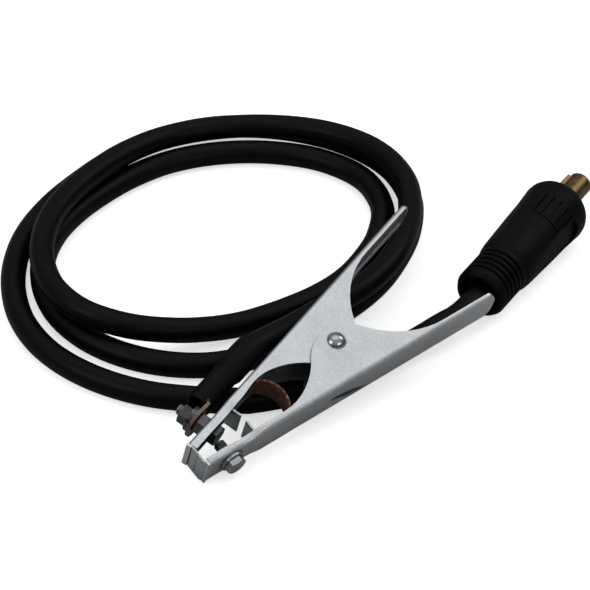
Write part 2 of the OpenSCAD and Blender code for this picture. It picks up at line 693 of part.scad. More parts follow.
module plug_body() color([0.05, 0.05, 0.05]) lay_plug() difference() {
    along_plug(0) rotate_extrude() polygon(concat([for (p = plug_outline()) [p[1], p[0]]],
                                                  [[0, plug_length], [0, 0]]));
    // The mouth round the cable, the cable's bore, the contact's seat and the pin's bore
    along_plug(-cut) cylinder(h = mouth_depth + cut, d1 = mouth_d, d2 = mouth_d - 3);
    along_plug(0) cylinder(h = cavity_start + cut, d = cable_d + 2 * fit_gap);
    along_plug(cavity_start) cylinder(h = cavity_end - cavity_start, d = shank_d);
    along_plug(cavity_end - cut) cylinder(h = plug_length - cavity_end + 2 * cut, d = pin_d);
    // A pocket over the grub screw
    translate([grub_place, 0, 0]) rotate([key_angle, 0, 0])
        cylinder(h = shank_d / 2 + pocket_depth, d = grub_d);
    side_panel();
    for (i = [0 : grip_count]) rotate([grip_start + grip_pitch * i, 0, 0]) grip_groove();
    grip_end();
}

// A bare sunken panel with round ends, on the plug's side
module side_panel() {
    rotate([panel_angle, 0, 0]) translate([0, 0, panel_seat - panel_depth]) {
        translate([panel_start + panel_width / 2, -panel_width / 2, 0])
            cube([panel_end - panel_start - panel_width, panel_width, body_d]);
        for (s = [panel_start, panel_end - panel_width])
            translate([s + panel_width / 2, 0, 0]) cylinder(h = body_d, d = panel_width);
    }
}

// The grip pads ahead of the shoulder: the shallow grooves between them and the one round their rear ends
module grip_groove()
    translate([grip_rear, -grip_line / 2, grip_floor]) cube([grip_length, grip_line, body_d]);
module grip_end()
    along_plug(grip_rear) rotate([0, 0, 180 + grip_start]) rotate_extrude(angle = grip_count * grip_pitch)
        translate([grip_floor, 0]) square([body_d, grip_line]);

module plug_contact() color([0.72, 0.6, 0.35]) lay_plug() {
    difference() {
        union() {
            along_plug(cavity_start) cylinder(h = cavity_end - cavity_start, d = shank_d);
            along_plug(cavity_end - cut) cylinder(h = pin_shoulder - cavity_end + cut, d = pin_d);
            along_plug(pin_shoulder) cylinder(h = pin_chamfer, d1 = pin_d, d2 = pin_d - 2 * point_depth);
            translate([plug_length + pin_length - key_inset - key_length, 0, 0]) rotate([key_angle, 0, 0])
                translate([0, -key_width / 2, 0]) cube([key_length, key_width, pin_d / 2 + key_h]);
        }
        along_plug(cavity_start - cut) cylinder(h = ferrule_length + cut, d = contact_bore);
        translate([grub_place, 0, 0]) rotate([key_angle, 0, 0]) cylinder(h = shank_d, d = grub_d);
    }
}

module plug_grub_screw() color([0.3, 0.3, 0.32]) lay_plug()
    translate([grub_place, 0, 0]) rotate([key_angle, 0, 0]) difference() {
        translate([0, 0, contact_bore / 2 + fit_gap]) cylinder(h = 4.4, d = grub_d);
        translate([0, 0, contact_bore / 2 + 2]) cylinder(h = 4, d = 4.6, $fn = 6);
    }

module plug_ferrule() color([0.75, 0.45, 0.3]) lay_plug() difference() {
    along_plug(cavity_start) cylinder(h = ferrule_length, d = contact_bore);
    along_plug(cavity_start - cut) cylinder(h = ferrule_length + 2 * cut, d = strands_d);
}

module plug_strands() color([0.75, 0.42, 0.26]) lay_plug()
    along_plug(cavity_start) cylinder(h = ferrule_length, d = strands_d);

cable_arm();
free_arm();
pivot_rivet();
torsion_spring();
cable_jaw_plate();
free_jaw_plate();
copper_braid();
terminal_bolt();
terminal_nut_inner();
terminal_washer();
terminal_nut_outer();
jaw_bolt();
jaw_washer();
cable_lug();
lug_strands();
heat_shrink_sleeve();
cable_clamp_end();
cable_coil();
cable_plug_end();
plug_body();
plug_contact();
plug_grub_screw();
plug_ferrule();
plug_strands();
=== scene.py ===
import math
import bmesh
import bpy
from mathutils import Matrix, Vector


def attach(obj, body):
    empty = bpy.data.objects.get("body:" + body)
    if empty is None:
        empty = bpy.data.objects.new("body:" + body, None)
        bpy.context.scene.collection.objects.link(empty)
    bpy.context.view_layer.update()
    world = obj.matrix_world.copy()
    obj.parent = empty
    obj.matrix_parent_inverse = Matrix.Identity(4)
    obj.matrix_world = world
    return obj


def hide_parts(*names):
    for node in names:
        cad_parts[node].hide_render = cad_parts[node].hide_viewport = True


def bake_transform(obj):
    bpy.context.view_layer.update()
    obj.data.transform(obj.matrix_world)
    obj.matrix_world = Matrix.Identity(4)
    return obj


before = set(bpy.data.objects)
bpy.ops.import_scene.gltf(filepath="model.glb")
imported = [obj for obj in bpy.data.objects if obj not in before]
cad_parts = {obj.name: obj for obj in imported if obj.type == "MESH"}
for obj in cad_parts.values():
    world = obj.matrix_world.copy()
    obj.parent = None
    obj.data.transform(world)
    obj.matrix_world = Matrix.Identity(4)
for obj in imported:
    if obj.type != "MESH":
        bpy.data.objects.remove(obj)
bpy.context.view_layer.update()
mm = 0.001
near = 0.05     # how close to a height counts as on it, in millimetres

# where the clamp and the plug lie, in millimetres and degrees
clamp = {
    "place": (4.5, 0, 25), "roll": 21.8, "pitch": 8.4,
    "webOffset": 21.4, "webInner": -20.2, "jawReach": 94, "jawDepth": 7.4,
    "barrelAxis": -31.9, "barrelEnd": 42.5, "boltReach": 76, "jawBoltReach": 79,
}
plug = {"place": (100.5, -12.2, 14.1), "turn": 11.3, "rise": 2.8, "cavity": 42, "bodyTurn": -8}
# each arm's angle to the middle with the jaws shut
spread = math.acos(clamp["jawDepth"] / math.hypot(clamp["webOffset"], clamp["jawReach"])) \
    - math.atan2(clamp["jawReach"], clamp["webOffset"])


def turnAbout(axis, degrees):
    return Matrix.Rotation(math.radians(degrees), 4, axis)


clampFrame = Matrix.Translation(clamp["place"])
clampFrame = clampFrame @ turnAbout("Y", -clamp["pitch"]) @ turnAbout("X", clamp["roll"])
freeArmFrame = clampFrame @ Matrix.Rotation(-spread, 4, "Z")
cableArmFrame = clampFrame @ Matrix.Scale(-1, 4, (0, 1, 0)) @ Matrix.Rotation(-spread, 4, "Z")
plugFrame = Matrix.Translation(plug["place"])
plugFrame = plugFrame @ turnAbout("Z", plug["turn"]) @ turnAbout("Y", -plug["rise"])

# angles in degrees, distances in millimetres, clip in metres
view = {"lookAt": (50.5, 69.1, 0), "azimuth": 313.5, "elevation": 36, "distance": 1355,
        "lens": 159.6, "sensor": 36, "clip": (0.05, 20)}


def setCamera():
    data = bpy.data.cameras.new("camera")
    data.lens, data.sensor_width = view["lens"], view["sensor"]
    data.clip_start, data.clip_end = view["clip"]
    camera = bpy.data.objects.new("camera", data)
    bpy.context.scene.collection.objects.link(camera)
    turn, lift = math.radians(view["azimuth"]), math.radians(view["elevation"])
    back = Vector((math.sin(turn) * math.cos(lift), -math.cos(turn) * math.cos(lift), math.sin(lift)))
    camera.location = (Vector(view["lookAt"]) + back * view["distance"]) * mm
    camera.rotation_euler = (-back).to_track_quat("-Z", "Y").to_euler()
    bpy.context.scene.camera = camera


# each lamp: place and aim in millimetres, width and height, watts
lamps = {
    "overhead": {"place": (150, 250, 1300), "aim": (40, 60, 0), "size": (1100, 1100), "power": 2.6},
    "left": {"place": (-900, 350, 700), "aim": (30, 40, 20), "size": (700, 500), "power": 2.4},
    "front": {"place": (-100, -1100, 620), "aim": (30, 0, 20), "size": (900, 400), "power": 2.0},
    "right": {"place": (900, -250, 800), "aim": (60, 20, 20), "size": (500, 700), "power": 2.0},
}
# the room is dark at eye height and light above
room = {"tint": (0.97, 0.985, 1, 1), "low": 0.05, "high": 0.9, "dark": 0.05, "light": 0.6}


def setLamps():
    for name, lamp in lamps.items():
        data = bpy.data.lights.new(name, "AREA")
        data.shape = "RECTANGLE"
        data.size, data.size_y = lamp["size"][0] * mm, lamp["size"][1] * mm
        data.energy = lamp["power"]
        light = bpy.data.objects.new(name, data)
        bpy.context.scene.collection.objects.link(light)
        place, aim = Vector(lamp["place"]), Vector(lamp["aim"])
        light.location = place * mm
        light.rotation_euler = (aim - place).to_track_quat("-Z", "Y").to_euler()
    world = bpy.data.worlds.new("studio")
    world.use_nodes = True
    tree = world.node_tree
    up = addNode(tree, "SeparateXYZ", {0: addNode(tree, "TexCoord").outputs["Generated"]}).outputs[2]
    glow = addNode(tree, "MapRange", {"Value": up, "From Min": room["low"], "From Max": room["high"],
                                      "To Min": room["dark"], "To Max": room["light"]})
    tree.links.new(glow.outputs[0], tree.nodes["Background"].inputs["Strength"])
    tree.nodes["Background"].inputs["Color"].default_value = room["tint"]
    bpy.context.scene.world = world
    bpy.context.scene.view_settings.view_transform = "Standard"


# a socket takes a value or another node's output
def setInput(tree, socket, value):
    if isinstance(value, bpy.types.NodeSocket):
        tree.links.new(value, socket)
    else:
        socket.default_value = value


def addNode(tree, kind, inputs=None, **settings):
    node = tree.nodes.new("ShaderNode" + kind)
    for key, value in settings.items():
        setattr(node, key, value)
    for key, value in (inputs or {}).items():
        setInput(tree, node.inputs[key], value)
    return node


def newGroup(name, inputs, outputs, vectors=()):
    tree = bpy.data.node_groups.new(name, "ShaderNodeTree")
    for label in vectors:
        tree.interface.new_socket(label, in_out="INPUT", socket_type="NodeSocketVector")
    for label, value in inputs.items():
        socket = tree.interface.new_socket(label, in_out="INPUT", socket_type="NodeSocketFloat")
        socket.default_value = value
    for label in outputs:
        tree.interface.new_socket(label, in_out="OUTPUT", socket_type="NodeSocketFloat")
    return tree, tree.nodes.new("NodeGroupInput").outputs, tree.nodes.new("NodeGroupOutput").inputs


def mathNode(tree, operation, a, b=0.5, c=0.5, clamped=False):
    return addNode(tree, "Math", {0: a, 1: b, 2: c}, operation=operation, use_clamp=clamped).outputs[0]


def useGroup(tree, group, inputs):
    return addNode(tree, "Group", inputs, node_tree=group)


wornAndHighlitEdges = {"strength": 6.0, "contrast": 1.6, "shift": -0.3, "samples": 4}


# a mask that is 1 on the rounded edges: wear, and a painted highlight where edges catch light
def makeEdgeWearAndHighlight():
    tree, given, result = newGroup("edgeWearAndHighlight", {"Radius": 0.0005, "Breakup": 400}, ["Mask"])
    rounded = addNode(tree, "Bevel", {"Radius": given["Radius"]}, samples=wornAndHighlitEdges["samples"])
    flat = addNode(tree, "NewGeometry")
    near = addNode(tree, "VectorMath", {0: rounded.outputs[0], 1: flat.outputs["Normal"]},
                   operation="DOT_PRODUCT")
    spots = addNode(tree, "TexNoise", {"Vector": addNode(tree, "TexCoord").outputs["Object"],
                                       "Scale": given["Breakup"], "Detail": 3.0})
    turnedBy = mathNode(tree, "SUBTRACT", 1.0, near.outputs["Value"])
    strong = mathNode(tree, "MULTIPLY", turnedBy, wornAndHighlitEdges["strength"])
    broken = mathNode(tree, "MULTIPLY_ADD", spots.outputs["Fac"], wornAndHighlitEdges["contrast"], wornAndHighlitEdges["shift"])
    tree.links.new(mathNode(tree, "MULTIPLY", strong, broken, clamped=True), result["Mask"])
    return tree


spangles = {"cells": 1.6, "grainShare": 0.6, "fineShare": 0.5, "stainFrom": 0.56, "stainTo": 0.74}


# the fine crystals of a zinc coat, with a little unevenness below them
def makeSpangle():
    look = spangles
    tree, given, result = newGroup("zincSpangle", {"Grain": 1500, "Patches": 55}, ["Tone", "Height", "Stain"])
    place = addNode(tree, "TexCoord").outputs["Object"]
    grain = addNode(tree, "TexNoise", {"Vector": place, "Scale": given["Grain"],
                                       "Detail": 2.0, "Roughness": 0.7})
    cells = addNode(tree, "TexVoronoi", {"Vector": place,
                                         "Scale": mathNode(tree, "MULTIPLY", given["Grain"], look["cells"])})
    patches = addNode(tree, "TexNoise", {"Vector": place, "Scale": given["Patches"],
                                         "Detail": 4.0, "Roughness": 0.6})
    cellTone = addNode(tree, "SeparateColor", {"Color": cells.outputs["Color"]}).outputs[0]
    fine = mathNode(tree, "MULTIPLY_ADD", grain.outputs["Fac"], look["grainShare"],
                    mathNode(tree, "MULTIPLY", cellTone, 1 - look["grainShare"]))
    tone = mathNode(tree, "MULTIPLY_ADD", patches.outputs["Fac"], 1 - look["fineShare"],
                    mathNode(tree, "MULTIPLY", fine, look["fineShare"]))
    stain = addNode(tree, "MapRange", {"Value": patches.outputs["Fac"],
                                       "From Min": look["stainFrom"], "From Max": look["stainTo"]})
    tree.links.new(tone, result["Tone"])
    tree.links.new(fine, result["Height"])
    tree.links.new(mathNode(tree, "MULTIPLY", stain.outputs[0], grain.outputs["Fac"]), result["Stain"])
    return tree


# painted shade where two parts or two faces meet: darker where ambient occlusion finds other faces close
def makeCreviceShade():
    tree, given, result = newGroup("creviceShade", {"Reach": 0.0012, "Strength": 0.6}, ["Mask"])
    openness = addNode(tree, "AmbientOcclusion", {"Distance": given["Reach"]}, samples=6)
    closed = mathNode(tree, "SUBTRACT", 1.0, openness.outputs["AO"])
    tree.links.new(mathNode(tree, "MULTIPLY", closed, given["Strength"], clamped=True), result["Mask"])
    return tree


# fine lines along one axis of the coordinates given
def makeDrawLines():
    tree, given, result = newGroup("drawLines", {"Along": 40.0, "Across": 2500.0}, ["Lines"], ["Vector"])
    scale = addNode(tree, "CombineXYZ", {0: given["Along"], 1: given["Across"], 2: given["Across"]})
    place = addNode(tree, "VectorMath", {0: given["Vector"], 1: scale.outputs[0]}, operation="MULTIPLY")
    noise = addNode(tree, "TexNoise", {"Vector": place.outputs[0], "Scale": 1.0,
                                       "Detail": 3.0, "Roughness": 0.65})
    tree.links.new(noise.outputs["Fac"], result["Lines"])
    return tree


# pale dust on what faces up
def makeDust():
    tree, given, result = newGroup("settledDust", {"Amount": 0.2, "Size": 300}, ["Mask"])
    up = addNode(tree, "SeparateXYZ", {0: addNode(tree, "NewGeometry").outputs["Normal"]}).outputs[2]
    place = addNode(tree, "TexCoord").outputs["Object"]
    specks = addNode(tree, "TexNoise", {"Vector": place, "Scale": given["Size"],
                                        "Detail": 6.0, "Roughness": 0.75})
    sharp = addNode(tree, "MapRange", {"Value": specks.outputs["Fac"], "From Min": 0.5, "From Max": 0.8})
    facing = mathNode(tree, "MULTIPLY", up, sharp.outputs[0], clamped=True)
    tree.links.new(mathNode(tree, "MULTIPLY", facing, given["Amount"], clamped=True), result["Mask"])
    return tree


def newFinish(name, metallic=0.0, specular=0.5):
    finish = bpy.data.materials.new(name)
    finish.use_nodes = True
    tree = finish.node_tree
    shader = tree.nodes["Principled BSDF"]
    shader.inputs["Metallic"].default_value = metallic
    shader.inputs["IOR"].default_value = 1.5
    shader.inputs["Specular IOR Level"].default_value = specular
    return finish, tree, shader


def mixColors(tree, factor, a, b):
    a, b = ((*color, 1) if isinstance(color, tuple) else color for color in (a, b))
    return addNode(tree, "Mix", {0: factor, 6: a, 7: b}, data_type="RGBA", blend_type="MIX").outputs[2]


# a value from 0 to 1 spread over another range
def spanned(tree, value, low, high):
    return addNode(tree, "MapRange", {"Value": value, "To Min": low, "To Max": high}).outputs[0]


def addBump(tree, shader, height, strength, distance):
    bump = addNode(tree, "Bump", {"Height": height, "Strength": strength, "Distance": distance})
    tree.links.new(bump.outputs[0], shader.inputs["Normal"])


# coated or bare metal: colour from dark to light, roughness from low to high
metals = {
    "zincSteel": {"dark": (0.43, 0.45, 0.47), "light": (0.67, 0.69, 0.71), "edge": (0.9, 0.91, 0.92),
                  "stain": (0.38, 0.31, 0.25), "rough": (0.28, 0.46), "grain": 1300, "patches": 45,
                  "span": (-0.7, 1.7), "wear": 0.0005, "bump": 0.25, "depth": 0.00008,
                  "rust": (0.36, 0.22, 0.14)},
    # a darker copy of zincSteel: painted shade on the faces inside the arms' channels
    "zincPaintedShade": {"dark": (0.16, 0.17, 0.18), "light": (0.30, 0.31, 0.32), "edge": (0.6, 0.6, 0.6),
                   "stain": (0.12, 0.10, 0.09), "rough": (0.4, 0.56), "grain": 1300, "patches": 60,
                   "wear": 0.0004, "bump": 0.25, "depth": 0.00008},
    "brightSteel": {"dark": (0.28, 0.29, 0.30), "light": (0.46, 0.46, 0.46), "edge": (0.92, 0.92, 0.92),
                    "stain": (0.45, 0.42, 0.38), "rough": (0.10, 0.20), "grain": 900, "patches": 120,
                    "wear": 0.0003, "bump": 0.06, "depth": 0.00005},
    "springSteel": {"dark": (0.30, 0.31, 0.32), "light": (0.48, 0.49, 0.50), "edge": (0.6, 0.6, 0.6),
                    "stain": (0.25, 0.18, 0.12), "rough": (0.25, 0.4), "grain": 1200, "patches": 90,
                    "wear": 0.0002, "bump": 0.2, "depth": 0.00005},
    "contactSteel": {"dark": (0.32, 0.38, 0.40), "light": (0.54, 0.60, 0.62), "edge": (0.7, 0.72, 0.70),
                     "stain": (0.24, 0.22, 0.19), "rough": (0.24, 0.38), "grain": 1100, "patches": 60,
                     "wear": 0.00035, "bump": 0.15, "depth": 0.00005},
    "boltZinc": {"dark": (0.24, 0.25, 0.25), "light": (0.42, 0.44, 0.44), "edge": (0.6, 0.61, 0.6),
                 "stain": (0.2, 0.17, 0.14), "rough": (0.22, 0.36), "grain": 1300, "patches": 140,
                 "wear": 0.0003, "bump": 0.15, "depth": 0.00005},
    "screwSteel": {"dark": (0.03, 0.036, 0.04), "light": (0.11, 0.13, 0.14), "edge": (0.55, 0.56, 0.55),
                   "stain": (0.16, 0.12, 0.10), "rough": (0.26, 0.42), "grain": 1400, "patches": 150,
                   "wear": 0.0003, "bump": 0.2, "depth": 0.00005},
    "passivatedSteel": {"dark": (0.022, 0.021, 0.023), "light": (0.17, 0.16, 0.17), "edge": (0.8, 0.79, 0.77),
                        "stain": (0.2, 0.16, 0.18), "rough": (0.1, 0.2), "grain": 1200, "patches": 160,
                        "span": (-0.1, 1), "wear": 0.0003, "bump": 0.05, "depth": 0.00005},
    "lugCopper": {"dark": (0.07, 0.05, 0.04), "light": (0.22, 0.16, 0.125), "edge": (0.62, 0.42, 0.32),
                  "stain": (0.28, 0.2, 0.18), "rough": (0.28, 0.45), "grain": 1000, "patches": 110,
                  "wear": 0.0004, "bump": 0.2, "depth": 0.00006},
    "bareStrands": {"dark": (0.42, 0.2, 0.12), "light": (0.66, 0.36, 0.24), "edge": (0.75, 0.48, 0.36),
                    "stain": (0.2, 0.12, 0.08), "rough": (0.3, 0.5), "grain": 2500, "patches": 300,
                    "wear": 0.0002, "bump": 0.4, "depth": 0.0001},
}


# painted shade between parts and in creases: how far it reaches, how strong, and its dark colour
creviceShadeLook = {"reach": 0.0009, "strength": 1.3, "color": (0.03, 0.025, 0.022)}


def makeMetal(name, edgeWearAndHighlight, spangle, crevice):
    look = metals[name]
    finish, tree, shader = newFinish(name, metallic=1.0)
    coat = useGroup(tree, spangle, {"Grain": look["grain"], "Patches": look["patches"]})
    wearAndHighlight = useGroup(tree, edgeWearAndHighlight, {"Radius": look["wear"], "Breakup": 500})
    tone = spanned(tree, coat.outputs["Tone"], *look.get("span", (-0.6, 1.6)))
    color = mixColors(tree, tone, look["dark"], look["light"])
    color = mixColors(tree, coat.outputs["Stain"], color, look["stain"])
    # the edges lighter: partly wear, partly a painted edge highlight
    color = mixColors(tree, wearAndHighlight.outputs["Mask"], color, look["edge"])
    if "rust" in look:      # a trace on the sheared edges
        rust = mathNode(tree, "MULTIPLY", coat.outputs["Tone"], 0.8)
        rust = mathNode(tree, "MULTIPLY", wearAndHighlight.outputs["Mask"], rust)
        color = mixColors(tree, rust, color, look["rust"])
    # painted shade in the crevices and where parts meet
    creviceShadeMask = useGroup(tree, crevice, {"Reach": creviceShadeLook["reach"], "Strength": creviceShadeLook["strength"]})
    color = mixColors(tree, creviceShadeMask.outputs["Mask"], color, creviceShadeLook["color"])
    tree.links.new(color, shader.inputs["Base Color"])
    rough = spanned(tree, coat.outputs["Tone"], *look["rough"])
    rough = mathNode(tree, "MULTIPLY_ADD", wearAndHighlight.outputs["Mask"], -0.08, rough)      # worn edges are smoother
    tree.links.new(rough, shader.inputs["Roughness"])
    addBump(tree, shader, coat.outputs["Height"], look["bump"], look["depth"])
    return finish


# brass turned on a lathe: rings round the plug's axis, and tarnish
brassLook = {"light": (0.23, 0.158, 0.07), "dark": (0.1, 0.068, 0.032), "edge": (0.5, 0.38, 0.2),
             "span": (-0.8, 1.8), "rough": (0.22, 0.42), "rings": 3200, "grain": 900, "patches": 140,
             "wear": 0.0004, "bump": 0.25, "depth": 0.00005}


def makeBrass(edgeWearAndHighlight, spangle):
    look = brassLook
    finish, tree, shader = newFinish("turnedBrass", metallic=1.0)
    place = addNode(tree, "TexCoord").outputs["Object"]
    back = (0, math.radians(plug["rise"]), math.radians(-plug["turn"]))
    turned = addNode(tree, "Mapping", {"Vector": place, "Rotation": back})
    along = addNode(tree, "SeparateXYZ", {0: turned.outputs[0]}).outputs[0]
    rings = addNode(tree, "TexNoise", {"W": along, "Scale": look["rings"], "Detail": 2.0},
                    noise_dimensions="1D")
    coat = useGroup(tree, spangle, {"Grain": look["grain"], "Patches": look["patches"]})
    wearAndHighlight = useGroup(tree, edgeWearAndHighlight, {"Radius": look["wear"], "Breakup": 500})
    color = mixColors(tree, spanned(tree, coat.outputs["Tone"], *look["span"]), look["dark"], look["light"])
    # the edges lighter: partly wear, partly a painted edge highlight
    color = mixColors(tree, wearAndHighlight.outputs["Mask"], color, look["edge"])
    tree.links.new(color, shader.inputs["Base Color"])
    tree.links.new(spanned(tree, coat.outputs["Tone"], *look["rough"]), shader.inputs["Roughness"])
    addBump(tree, shader, rings.outputs["Fac"], look["bump"], look["depth"])
    return finish


# black rubber and plastic
rubbers = {
    "cableRubber": {"color": (0.001, 0.001, 0.0011), "dust": (0.05, 0.05, 0.05), "rough": (0.34, 0.50),
                    "amount": 0.10, "gloss": 0.104, "grain": 1100, "bump": 0.12, "depth": 0.0001},
    "plugRubber": {"color": (0.0011, 0.0011, 0.0012), "dust": (0.04, 0.04, 0.043), "rough": (0.42, 0.60),
                   "amount": 0.16, "gloss": 0.08, "grain": 1600, "bump": 0.2, "depth": 0.0001},
    "sleeveRubber": {"color": (0.001, 0.001, 0.0011), "dust": (0.04, 0.04, 0.04), "rough": (0.36, 0.54),
                     "amount": 0.10, "gloss": 0.096, "grain": 700, "bump": 0.25, "depth": 0.00015},
}


def makeRubber(name, dust):
    look = rubbers[name]
    finish, tree, shader = newFinish(name, specular=look["gloss"])
    place = addNode(tree, "TexCoord").outputs["Object"]
    grain = addNode(tree, "TexNoise", {"Vector": place, "Scale": look["grain"],
                                       "Detail": 3.0, "Roughness": 0.6})
    patches = addNode(tree, "TexNoise", {"Vector": place, "Scale": 40.0, "Detail": 5.0, "Roughness": 0.6})
    settled = useGroup(tree, dust, {"Amount": look["amount"], "Size": 350})
    color = mixColors(tree, settled.outputs["Mask"], look["color"], look["dust"])
    tree.links.new(color, shader.inputs["Base Color"])
    tree.links.new(spanned(tree, patches.outputs["Fac"], *look["rough"]), shader.inputs["Roughness"])
    addBump(tree, shader, grain.outputs["Fac"], look["bump"], look["depth"])
    return finish


# tarnished copper wire, with the wires of a bundle along its own map
braidLook = {"light": (0.34, 0.17, 0.11), "dark": (0.06, 0.026, 0.016), "bright": (0.7, 0.42, 0.3),
             "span": (-1.2, 2.2), "lineShare": 0.6, "glintFrom": 0.62, "glintTo": 0.78,
             "rough": (0.36, 0.6), "bump": 0.6, "depth": 0.0001}


def makeBraidCopper(drawLines):
    look = braidLook
    finish, tree, shader = newFinish("braidCopper", metallic=0.85)
    across = addNode(tree, "UVMap", uv_map="wires").outputs[0]
    lines = useGroup(tree, drawLines, {"Vector": across, "Along": 90.0, "Across": 900.0})
    patches = addNode(tree, "TexNoise", {"Vector": addNode(tree, "TexCoord").outputs["Object"],
                                         "Scale": 220.0, "Detail": 4.0})
    tone = mathNode(tree, "MULTIPLY_ADD", lines.outputs["Lines"], look["lineShare"],
                    mathNode(tree, "MULTIPLY", patches.outputs["Fac"], 1 - look["lineShare"]))
    color = mixColors(tree, spanned(tree, tone, *look["span"]), look["dark"], look["light"])
    glints = addNode(tree, "MapRange", {"Value": lines.outputs["Lines"],
                                        "From Min": look["glintFrom"], "From Max": look["glintTo"]})
    color = mixColors(tree, glints.outputs[0], color, look["bright"])
    tree.links.new(color, shader.inputs["Base Color"])
    tree.links.new(spanned(tree, patches.outputs["Fac"], *look["rough"]), shader.inputs["Roughness"])
    addBump(tree, shader, lines.outputs["Lines"], look["bump"], look["depth"])
    return finish


# the floor looks paler to the camera than what it throws back on the steel
paper = {"size": 6, "seen": (0.95, 0.95, 0.95), "bounced": (0.42, 0.42, 0.42), "glow": 0.6, "rough": 0.9}


def makeFloor():
    mesh = bpy.data.meshes.new("floor")
    bm = bmesh.new()
    bmesh.ops.create_grid(bm, x_segments=1, y_segments=1, size=paper["size"])
    bm.to_mesh(mesh)
    bm.free()
    floor = bpy.data.objects.new("floor", mesh)
    bpy.context.scene.collection.objects.link(floor)
    finish, tree, shader = newFinish("floorPaper")
    direct = addNode(tree, "LightPath").outputs["Is Camera Ray"]
    color = mixColors(tree, direct, paper["bounced"], paper["seen"])
    tree.links.new(color, shader.inputs["Base Color"])
    shader.inputs["Emission Color"].default_value = (1, 1, 1, 1)
    glow = mathNode(tree, "MULTIPLY", direct, paper["glow"])
    tree.links.new(glow, shader.inputs["Emission Strength"])
    shader.inputs["Roughness"].default_value = paper["rough"]
    mesh.materials.append(finish)


# a point on the smooth curve through the values, s of them along
def through(values, s):
    i = min(int(s), len(values) - 2)
    f = s - i
    a, b = values[max(i - 1, 0)], values[i]
    c, d = values[i + 1], values[min(i + 2, len(values) - 1)]
    return b + 0.5 * f * (c - a + f * (2 * a - 5 * b + 4 * c - d + f * (3 * (b - c) + d - a)))


def arcLengths(points):
    lengths = [0.0]
    for a, b in zip(points, points[1:]):
        lengths.append(lengths[-1] + (b - a).length)
    return lengths


# the same path with its points a fixed step apart
def evenly(points, step):
    lengths = arcLengths(points)
    count = max(2, round(lengths[-1] / step))
    result, i = [], 0
    for k in range(count + 1):
        s = lengths[-1] * k / count
        while i < len(points) - 2 and lengths[i + 1] < s:
            i += 1
        f = (s - lengths[i]) / max(lengths[i + 1] - lengths[i], 1e-9)
        result.append(points[i].lerp(points[i + 1], min(f, 1)))
    return result


# the edges where two faces meet at more than an angle
def cornersOf(bm, angle):
    return [e for e in bm.edges if len(e.link_faces) == 2 and e.calc_face_angle() > angle]


# everything in a bmesh, as the cutting planes want it
def allOf(bm):
    return bm.verts[:] + bm.edges[:] + bm.faces[:]


def fillHoles(bm):
    bmesh.ops.holes_fill(bm, edges=[e for e in bm.edges if e.is_boundary], sides=0)


# one bmesh put into another
def addMesh(bm, other):
    part = bpy.data.meshes.new("part")
    other.to_mesh(part)
    other.free()
    bm.from_mesh(part)
    bpy.data.meshes.remove(part)


# from a frame in millimetres
def toWorld(bm, place):
    bmesh.ops.transform(bm, matrix=Matrix.Scale(mm, 4) @ place, verts=bm.verts)


# an object from a bmesh, shaded smooth up to an angle, with a second, darker finish that paints shade on its
# inside faces
def newPiece(name, bm, finish, smooth=40, inside=None):
    mesh = bpy.data.meshes.new(name)
    bm.to_mesh(mesh)
    bm.free()
    mesh.shade_smooth()
    mesh.set_sharp_from_angle(angle=math.radians(smooth))
    mesh.materials.append(finish)
    if inside:
        mesh.materials.append(inside)
    piece = bpy.data.objects.new(name, mesh)
    bpy.context.scene.collection.objects.link(piece)
    return piece


# the edges that are rounded, in degrees, and how many faces round each
rounding = {"sharp": 30, "segments": 2, "flat": 0.6}


# a copy of a node's mesh, merged, with its edges rounded
def dressed(node, name, finish, body, edge, shape=None, inside=None):
    bm = bmesh.new()
    bm.from_mesh(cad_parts[node].data)
    bmesh.ops.remove_doubles(bm, verts=bm.verts, dist=0.000002)
    bmesh.ops.dissolve_degenerate(bm, edges=bm.edges, dist=0.000001)
    bmesh.ops.dissolve_limit(bm, angle_limit=math.radians(rounding["flat"]),
                             use_dissolve_boundaries=False, verts=bm.verts, edges=bm.edges)
    bmesh.ops.recalc_face_normals(bm, faces=bm.faces)
    if shape:
        reshape, place = shape
        inMetres = Matrix.Scale(mm, 4) @ place
        bmesh.ops.transform(bm, matrix=inMetres.inverted(), verts=bm.verts)
        reshape(bm)
        bmesh.ops.transform(bm, matrix=inMetres, verts=bm.verts)
        bmesh.ops.recalc_face_normals(bm, faces=bm.faces)
    bmesh.ops.bevel(bm, geom=cornersOf(bm, math.radians(rounding["sharp"])), affect="EDGES",
                    offset=edge * mm, offset_type="OFFSET", segments=rounding["segments"],
                    profile=0.5, material=-1, clamp_overlap=True)
    piece = newPiece(name, bm, finish, inside=inside)
    weighted = piece.modifiers.new("normals", "WEIGHTED_NORMAL")
    weighted.keep_sharp = True
    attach(piece, body)
    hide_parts(node)
    return piece


# its turns have a knot every 45 degrees: reach from the centre, and height
cable = {
    "diameter": 13, "step": 5, "resolution": 8,
    "centre": (36, 113.5), "start": -91.5, "knotAngle": 45,
    "reach": [83, 98, 123, 118, 92, 89, 89, 62, 57, 77, 112, 105, 90, 89.5, 91, 88,
              77, 94, 131, 132, 107, 104, 112, 116, 118],
    "height": [21, 20.7, 19.4, 15, 21, 20.2, 20.6, 9.5] + [6.5] * 17,
    "sleeveTail": 16, "tailBend": 14, "straight": 2,
    "clampRoute": [(-12, 28, 27), (1, 29.5, 24)],
    "plugRoute": [(-20.5, 10, 6.5), (-7, 4, 6.5), (9, -0.5, 6.5), (26, -4.5, 6.7), (41, -8, 7.8),
                  (55, -10.5, 9.4), (70, -12.7, 11.2)],
}


def turnsPoint(s):
    a = math.radians(cable["start"] + cable["knotAngle"] * s)
    r = through(cable["reach"], s)
    return Vector((cable["centre"][0] + r * math.cos(a), cable["centre"][1] + r * math.sin(a),
                   through(cable["height"], s)))


